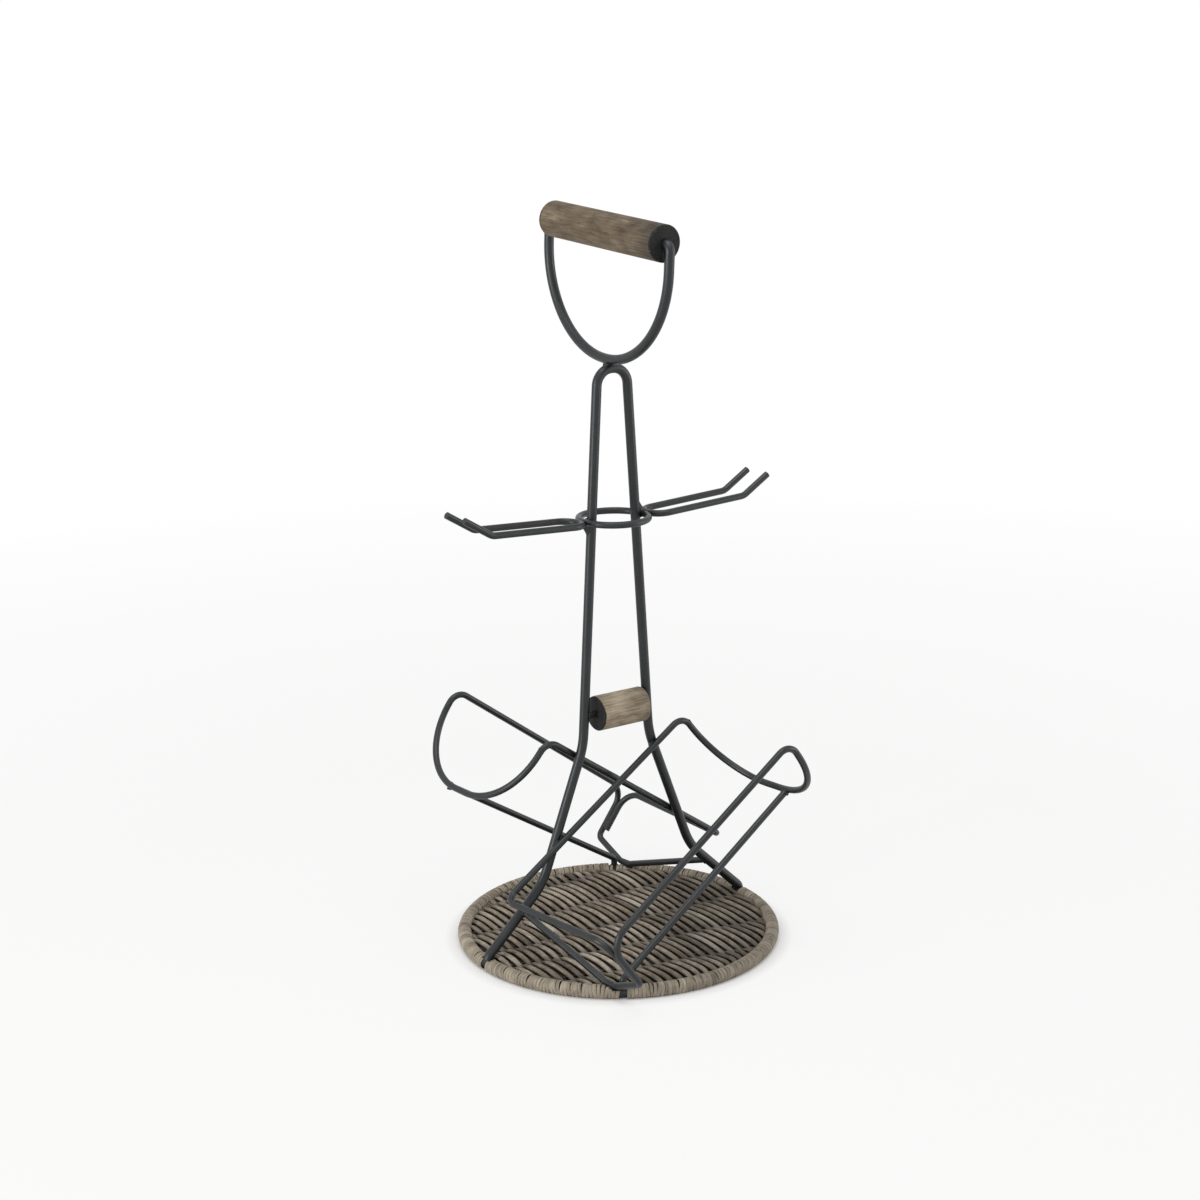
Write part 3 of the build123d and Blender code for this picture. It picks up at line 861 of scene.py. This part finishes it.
def corner_web(skin, corner, out, up, reach, height, half_t):
    """A web of weld that fills the corner between two rods. out and up point from the
    corner along the rods, and the web goes as far as reach and height along them."""
    STEPS = 8
    SLICES = (-1.0, -0.86, -0.5, 0.0, 0.5, 0.86, 1.0)  # through its thickness
    SAG = 0.10
    THIN = 0.04
    side = out.cross(up).normalized()
    rings, marks = [], []
    for slice_share in SLICES:
        full = math.sqrt(max(THIN, 1 - slice_share**2))
        ring = [corner + side * slice_share * half_t]
        for n in range(STEPS + 1):
            share = n / STEPS
            sag = 1 - SAG * math.sin(math.pi * share)
            place = out * reach * (1 - share) + up * height * share
            ring.append(corner + side * slice_share * half_t + place * sag * full)
        rings.append(ring)
        marks.append([(slice_share * half_t, 0.0, 0.0)] * len(ring))
    skin.sweep(rings, marks)


handle_welds, ring_welds, cradle_welds, foot_welds = Skin(), Skin(), Skin(), Skin()


def weld_bow():
    """The handle bow on the apex of the upright, with a web in the corner between the
    bow and the upright's left shoulder."""
    APEX_R = LEG_X_TOP * 0.985  # the hairpin's own bend
    BOW_X, BOW_SINK = -2.5 * MM, 0.5 * MM
    SHOULDER_X, SHOULDER_SINK = -6.6 * MM, 0.2 * MM
    SHOULDER_R = APEX_R + ROD_R - SHOULDER_SINK
    WEB_HALF_T = 2.1 * MM
    bow_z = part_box("handle_bow")[0].z + ROD_R
    apex_middle = Z * (APEX_Z - APEX_R)
    to_bow = Vector((BOW_X, 0, bow_z - apex_middle.z)).normalized()
    contact = apex_middle + to_bow * (APEX_R + ROD_R)
    over = Vector((to_bow.z, 0, -to_bow.x))
    crossing_beads(handle_welds, contact, -to_bow, Y, ROD_R, over, ROD_R, APEX_BEAD)
    shoulder_z = math.sqrt(SHOULDER_R**2 - SHOULDER_X**2)
    shoulder = apex_middle + Vector((SHOULDER_X, 0, shoulder_z)) - contact
    bow_side = Vector((BOW_X - ROD_R, 0, bow_z - BOW_SINK)) - contact
    corner_web(
        handle_welds,
        contact,
        out=bow_side.normalized(),
        up=shoulder.normalized(),
        reach=bow_side.length,
        height=shoulder.length,
        half_t=WEB_HALF_T,
    )


def weld_ring(half):
    """The ring on the outside of a leg, a fork on the outside of the ring, and a web
    in the corner over the ring on the right leg and under it on the left leg."""
    FORK_WELD = 6 * MM
    WEB_INSET, WEB_SINK = 0.5 * MM, 0.3 * MM  # into the leg, and into the ring
    WEB_OUT, WEB_HEIGHT, WEB_HALF_T = 2 * WIRE_R + 1.2 * MM, 7.6 * MM, 2.0 * MM
    out = turned(X, half)
    leg_run = turned(Vector((-(KNEE.x - LEG_X_TOP), 0, APEX_Z - KNEE.z)), half)
    leg_side = leg_x(RING_Z) + ROD_R
    on_leg = turned(Vector((leg_side, 0, RING_Z)), half)
    on_ring = turned(Vector((leg_side + 2 * WIRE_R, 0, RING_Z)), half)
    crossing_beads(ring_welds, on_leg, -out, Y, WIRE_R, leg_run, ROD_R, CROSS_BEAD)
    side_beads(ring_welds, on_ring, Y, Z, WIRE_R, FORK_WELD, SIDE_BEAD)
    up = leg_run.normalized() * (-1 if half else 1)
    corner_web(
        ring_welds,
        turned(Vector((leg_side - WEB_INSET, 0, RING_Z)), half) + up * (WIRE_R - WEB_SINK),
        out=out,
        up=up,
        reach=WEB_OUT,
        height=WEB_HEIGHT,
        half_t=WEB_HALF_T,
    )


def weld_dowel_rod(half):
    """The dowel's rod on a leg."""
    out = turned(X, half)
    leg_run = turned(Vector((-(KNEE.x - LEG_X_TOP), 0, APEX_Z - KNEE.z)), half)
    on_leg = turned(Vector((leg_x(DOWEL_Z), 0, DOWEL_Z)), half)
    end_bead(ring_welds, on_leg, out, WIRE_R, leg_run, ROD_R, END_BEAD)


def weld_foot(half):
    """A foot of the upright on the hoop. The two are equally thick, so the bead stands
    a little off the hoop."""
    OFF = 1.02  # times the hoop's radius
    end_bead(foot_welds, turned(foot_end, half), -Z, ROD_R, Y, ROD_R * OFF, END_BEAD)


def weld_inner_rail(half):
    """The inner rail on both legs."""
    low = on_cradle(*RAIL_LOW)
    run = (on_cradle(*RAIL_TOP) - low).normalized()
    for near, far in (
        (Vector((leg_x(KNEE.z), 0, KNEE.z)), Vector((LEG_X_TOP, 0, APEX_Z))),
        (Vector((-HOCK.x, 0, HOCK.z)), Vector((-KNEE.x, 0, KNEE.z))),
    ):
        slope = (far - near).normalized()
        gap = near - low
        travel = (gap.x * slope.z - gap.z * slope.x) / (run.x * slope.z - run.z * slope.x)
        meeting = low + run * travel
        crossing_beads(
            cradle_welds,
            turned(Vector((meeting.x, -(ROD_R - SINK), meeting.z)), half),
            turned(Y, half),
            turned(run, half),
            WIRE_R,
            turned(slope, half),
            ROD_R,
            CROSS_BEAD,
        )


def weld_drop(half):
    """The rail's drop beside the stop's down leg."""
    DROP_WELD = 9 * MM
    origin = on_cradle(0, 0, 0)
    side_beads(
        cradle_welds,
        turned(on_cradle(DROP_S, OUTER_Y - WIRE_R / MM, DROP_WELD_H), half),
        turned(on_cradle(0, 0, 1) - origin, half),
        turned(on_cradle(1, 0, 0) - origin, half),
        WIRE_R,
        DROP_WELD,
        SIDE_BEAD,
    )


def weld_heel_bar(half):
    """The heel bar over the hoop, and its end on the leg."""
    crossing_beads(
        foot_welds,
        turned(rim_cross + Z * HOOP_TOP, half),
        -Z,
        turned(level_run, half),
        WIRE_R,
        turned(along_hoop(RIM_CROSS), half),
        ROD_R,
        SIDE_BEAD,
    )
    end_bead(
        foot_welds,
        turned(heel_end, half),
        turned(heel_end - level_end, half),
        WIRE_R,
        turned(Vector((-ankle.x, 0, ankle.z)) - Vector((-HOCK.x, 0, HOCK.z)), half),
        ROD_R,
        BAR_BEAD,
    )


def weld_brace(half):
    """The brace under the saddle, and its foot on the hoop."""
    saddle_in = on_cradle(SADDLE_IN_S, INNER_Y, SADDLE_IN_H)
    saddle_out = on_cradle(SADDLE_OUT_S, OUTER_Y, SADDLE_OUT_H)
    end_bead(
        cradle_welds,
        turned(brace_top, half),
        turned(brace_top - brace_bend, half),
        WIRE_R,
        turned(saddle_out - saddle_in, half),
        WIRE_R,
        END_BEAD,
    )
    end_bead(
        foot_welds,
        turned(brace_foot + Z * HOOP_Z, half),
        -Z,
        WIRE_R,
        turned(along_hoop(BRACE_FOOT), half),
        ROD_R,
        END_BEAD,
    )


weld_bow()
for half in (False, True):
    weld_ring(half)
    weld_dowel_rod(half)
    weld_foot(half)
    weld_inner_rail(half)
    weld_drop(half)
    weld_heel_bar(half)
    weld_brace(half)

# Dressing
BOW_TILT = math.radians(4)
GRIP_HALF_L = 52.0 * MM
grip_low, grip_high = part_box("handle_grip")
dowel_low, dowel_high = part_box("lower_dowel")

steel = powder_coated_steel(
    "powder_coated_mild_steel",
    smoothest=0.34,
    roughest=0.48,
    peel_strength=0.5,
    peel_height=0.10 * MM,
)
weld_steel = powder_coated_steel(
    "powder_coated_weld_bead",
    smoothest=0.40,
    roughest=0.56,
    peel_strength=0.8,
    peel_height=0.25 * MM,
)
# each rattan is darkened lower down as painted shade, between its two given heights
strand_rattan = washed_rattan(
    "washed_rattan_strand",
    [(0.24, "#5f5548"), (0.38, "#847969"), (0.50, "#9e9282"), (0.64, "#beb4a4")],
    painted_shade_from=2.6 * MM,
    painted_shade_to=6.5 * MM,
    painted_shade_darkest=0.06,
    rightmost_lightness=0.62,
)
# the stakes are coloured nearly black as painted shade for the gaps between strands, where they
# show
shade_dark_stake_rattan = washed_rattan(
    "rattan_stake_painted_shade",
    [(0.24, "#26211c"), (0.38, "#352e27"), (0.50, "#453d34"), (0.64, "#5a5046")],
    painted_shade_from=2.4 * MM,
    painted_shade_to=6.5 * MM,
    painted_shade_darkest=0.09,
    rightmost_lightness=0.62,
)
rim_rattan = washed_rattan(
    "washed_rattan_wrapping",
    [(0.22, "#665c4e"), (0.36, "#887e6f"), (0.50, "#a09584"), (0.66, "#bab09f")],
    painted_shade_from=-1.0 * MM,
    painted_shade_to=1.5 * MM,
    painted_shade_darkest=0.55,
    rightmost_lightness=0.84,
)
grip_wood = weathered_wood(
    "weathered_softwood_grip",
    [(0.32, "#483b2e"), (0.44, "#5c4f3f"), (0.56, "#6d5f4c"), (0.70, "#8b7c66")],
    middle=(grip_low + grip_high) / 2,
    laid=(math.radians(90) - BOW_TILT, 0, 0),
    half_length=GRIP_HALF_L,
    stain=3.6 * MM,
    end_lightness=0.42,
)
dowel_wood = weathered_wood(
    "weathered_softwood_dowel",
    [(0.34, "#6e6251"), (0.46, "#92846f"), (0.55, "#a79983"), (0.68, "#bcaf99")],
    middle=(dowel_low + dowel_high) / 2,
    laid=(0, math.radians(90), 0),
    half_length=(dowel_high.x - dowel_low.x) / 2,
    stain=1.8 * MM,
    end_lightness=0.62,
)

own_finish = {
    "handle_grip": grip_wood,
    "lower_dowel": dowel_wood,
    "woven_mat": strand_rattan,
    "rim_wrap": rim_rattan,
}
for name, node in nodes.items():
    for place in node.material_slots:
        place.material = own_finish.get(name, steel)

strands.piece("mat_strands", strand_rattan, "frame", "wicker", ["woven_mat"])
stakes.piece("mat_stakes", shade_dark_stake_rattan, "frame", "wicker")
rim_strips.piece("rim_strips", rim_rattan, "frame", "wicker", ["rim_wrap"])
handle_welds.piece("handle_welds", weld_steel, "frame", "black_steel")
ring_welds.piece("ring_welds", weld_steel, "frame", "black_steel")
cradle_welds.piece("cradle_welds", weld_steel, "frame", "black_steel")
foot_welds.piece("foot_welds", weld_steel, "frame", "black_steel")

# Studio
FLOOR_R = 4.0
FLOOR_SIDES = 96
FLOOR_KEEPS = 0.35  # within this distance the floor keeps its soft shadow
FLOOR_FADES = 1.3  # from here on it is as white as the studio
FLOOR_GLOW = 0.78  # its share of the studio's white near the caddy
DARK_TO, LIGHT_FROM = BASE_R - 4 * MM, BASE_R + 8 * MM  # no glow under the caddy
ROOM_LIGHT = 0.42  # the room's own light on the caddy


def seen_rays(tree):
    """1 for a ray that shows the background, straight, in a gloss or through something
    clear, and 0 for one that lights the caddy."""
    rays = add(tree, "ShaderNodeLightPath").outputs
    straight = add(
        tree,
        "ShaderNodeMath",
        {0: rays["Is Camera Ray"], 1: rays["Is Glossy Ray"]},
        operation="MAXIMUM",
    ).outputs[0]
    return add(
        tree,
        "ShaderNodeMath",
        {0: straight, 1: rays["Is Transmission Ray"]},
        operation="MAXIMUM",
    ).outputs[0]


def matt_white_paper():
    """Uncoated white paper, dull, with a soft shadow under the caddy. To the eye it
    glows, more so farther off, so that it ends as white as the studio."""
    paper = bpy.data.materials.new("matt_white_paper")
    paper.use_nodes = True
    tree = paper.node_tree
    tree.nodes.clear()
    sheet = add(tree, "ShaderNodeBsdfDiffuse", {"Color": linear("#efeeec")})
    glow = add(tree, "ShaderNodeEmission", {"Color": linear("#ffffff"), "Strength": 1.0})
    place = add(tree, "ShaderNodeTexCoord").outputs["Object"]
    away = add(tree, "ShaderNodeVectorMath", {0: place}, operation="LENGTH").outputs["Value"]
    fade = add(
        tree,
        "ShaderNodeMapRange",
        {
            "Value": away,
            "From Min": FLOOR_KEEPS,
            "From Max": FLOOR_FADES,
            "To Min": FLOOR_GLOW,
            "To Max": 1.0,
        },
    ).outputs["Result"]
    beside = add(
        tree, "ShaderNodeMapRange", {"Value": away, "From Min": DARK_TO, "From Max": LIGHT_FROM}
    ).outputs["Result"]
    glowing = add(
        tree, "ShaderNodeMath", {0: fade, 1: beside}, operation="MULTIPLY"
    ).outputs[0]
    share = add(
        tree, "ShaderNodeMath", {0: glowing, 1: seen_rays(tree)}, operation="MULTIPLY"
    ).outputs[0]
    blend = add(
        tree, "ShaderNodeMixShader", {"Fac": share, 1: sheet.outputs[0], 2: glow.outputs[0]}
    )
    add(tree, "ShaderNodeOutputMaterial", {"Surface": blend.outputs[0]})
    return paper


def white_studio():
    """The room: white to the eye, and a weaker light from all round on the caddy."""
    studio = bpy.data.worlds.new("white_studio")
    studio.use_nodes = True
    tree = studio.node_tree
    tree.nodes.clear()
    level = add(
        tree,
        "ShaderNodeMapRange",
        {"Value": seen_rays(tree), "To Min": ROOM_LIGHT, "To Max": 1.0},
    ).outputs["Result"]
    white = add(tree, "ShaderNodeBackground", {"Color": linear("#ffffff"), "Strength": level})
    add(tree, "ShaderNodeOutputWorld", {"Surface": white.outputs[0]})
    return studio


def soft_box(name, stand, aim, wide, tall, power):
    """A soft lamp with an oblong front at a place, turned to a point."""
    lamp_data = bpy.data.lights.new(name, "AREA")
    lamp_data.shape = "RECTANGLE"
    lamp_data.size = wide
    lamp_data.size_y = tall
    lamp_data.energy = power
    lamp = bpy.data.objects.new(name, lamp_data)
    bpy.context.scene.collection.objects.link(lamp)
    lamp.location = stand
    lamp.rotation_mode = "QUATERNION"
    lamp.rotation_quaternion = (Vector(aim) - Vector(stand)).to_track_quat("-Z", "Y")


floor_mesh = bpy.data.meshes.new("studio_floor")
floor_work = bmesh.new()
bmesh.ops.create_circle(floor_work, cap_ends=True, segments=FLOOR_SIDES, radius=FLOOR_R)
floor_work.to_mesh(floor_mesh)
floor_work.free()
floor_mesh.materials.append(matt_white_paper())
floor = bpy.data.objects.new("studio_floor", floor_mesh)
bpy.context.scene.collection.objects.link(floor)

bpy.context.scene.world = white_studio()
LAMP_AIM = (0, 0, 0.3)
soft_box("overhead_box", (-0.2, -0.3, 1.9), (0, 0, 0.15), wide=1.2, tall=1.2, power=14)
soft_box("left_box", (-1.75, -0.05, 0.42), LAMP_AIM, wide=0.40, tall=0.8, power=14)
soft_box("right_box", (1.45, -1.1, 0.42), LAMP_AIM, wide=0.40, tall=0.8, power=7)
bpy.context.scene.view_settings.view_transform = "Standard"
